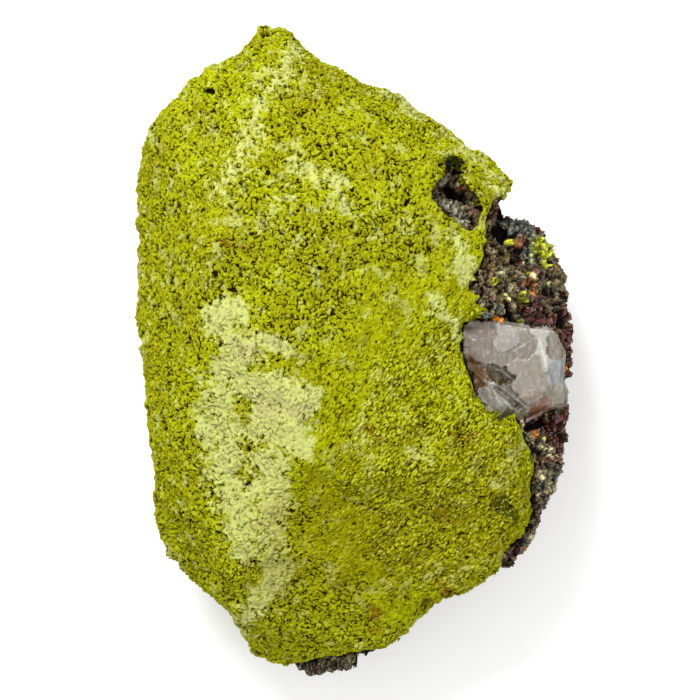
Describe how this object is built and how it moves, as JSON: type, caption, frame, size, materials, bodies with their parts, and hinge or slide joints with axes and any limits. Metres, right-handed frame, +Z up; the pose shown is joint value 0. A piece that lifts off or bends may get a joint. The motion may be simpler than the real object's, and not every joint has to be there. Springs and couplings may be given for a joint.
{
  "type": "nontronite mineral specimen",
  "caption": "Hand-sized mineral specimen: a crumbly yellow-green nontronite crust over dark garnet-bearing rock, with a pale quartz grain set in its side.",
  "frame": {"origin": "on the surface that the specimen lies on, under the middle of its outline", "axes": "+Z up, away from the surface; +Y along the specimen's length, towards its pointed tip; +X towards the side with bare rock and the quartz grain"},
  "size_m": [0.057, 0.084, 0.036],
  "materials": {
    "matrix_rock": "dark brown to dark red rough rock with small garnets, grey-green in places",
    "nontronite": "matt, earthy, yellow-green crumb with small dark pits and paler patches",
    "quartz": "milky, slightly see-through, glassy on its broken faces"
  },
  "bodies": {
    "root": {"matrix_rock": "matrix_rock", "nontronite_crust": "nontronite", "quartz_grain": "quartz"}
  },
  "joints": []
}
